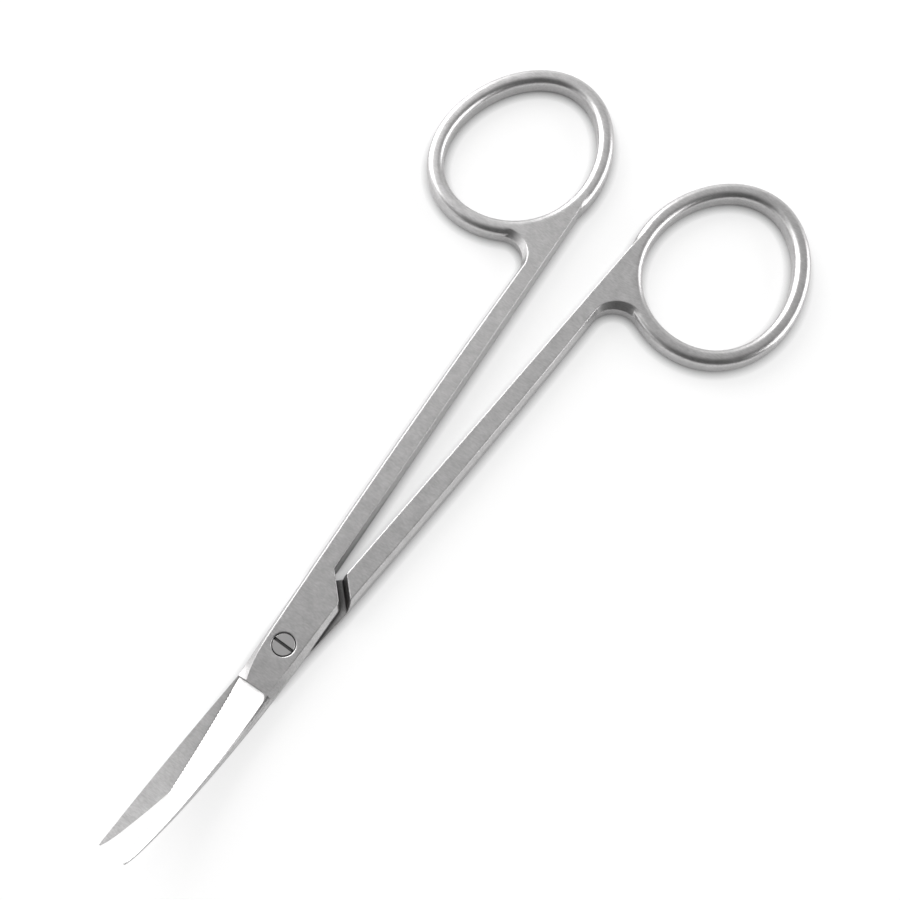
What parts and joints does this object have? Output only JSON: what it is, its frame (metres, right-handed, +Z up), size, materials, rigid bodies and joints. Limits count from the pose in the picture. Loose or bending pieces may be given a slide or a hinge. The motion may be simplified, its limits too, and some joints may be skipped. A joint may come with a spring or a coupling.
{
  "type": "dissecting scissors",
  "caption": "Fine surgical scissors with oval finger rings, long slim shanks, a slotted pivot screw and short upward-curving blades with a finely serrated edge.",
  "frame": {"origin": "on the pivot screw's axis, at the level of the surface that the scissors lie on", "axes": "+Z up along the pivot axis, +Y from the pivot towards the finger rings, -Y towards the tips, +X towards the lower half's ring"},
  "size_m": [0.0616, 0.1303, 0.0079],
  "materials": {
    "instrument_steel": "satin",
    "screw_steel": "fine turned"
  },
  "bodies": {
    "lower_arm": {"lower_half": "instrument_steel", "pivot_screw": "screw_steel"},
    "upper_arm": {"upper_half": "instrument_steel"}
  },
  "joints": [
    {"name": "pivot_hinge", "type": "hinge", "parent": "lower_arm", "child": "upper_arm", "pos_m": [0, 0, 0.00165], "axis": [0, 0, 1], "range_deg": [-5.5, 132]}
  ]
}
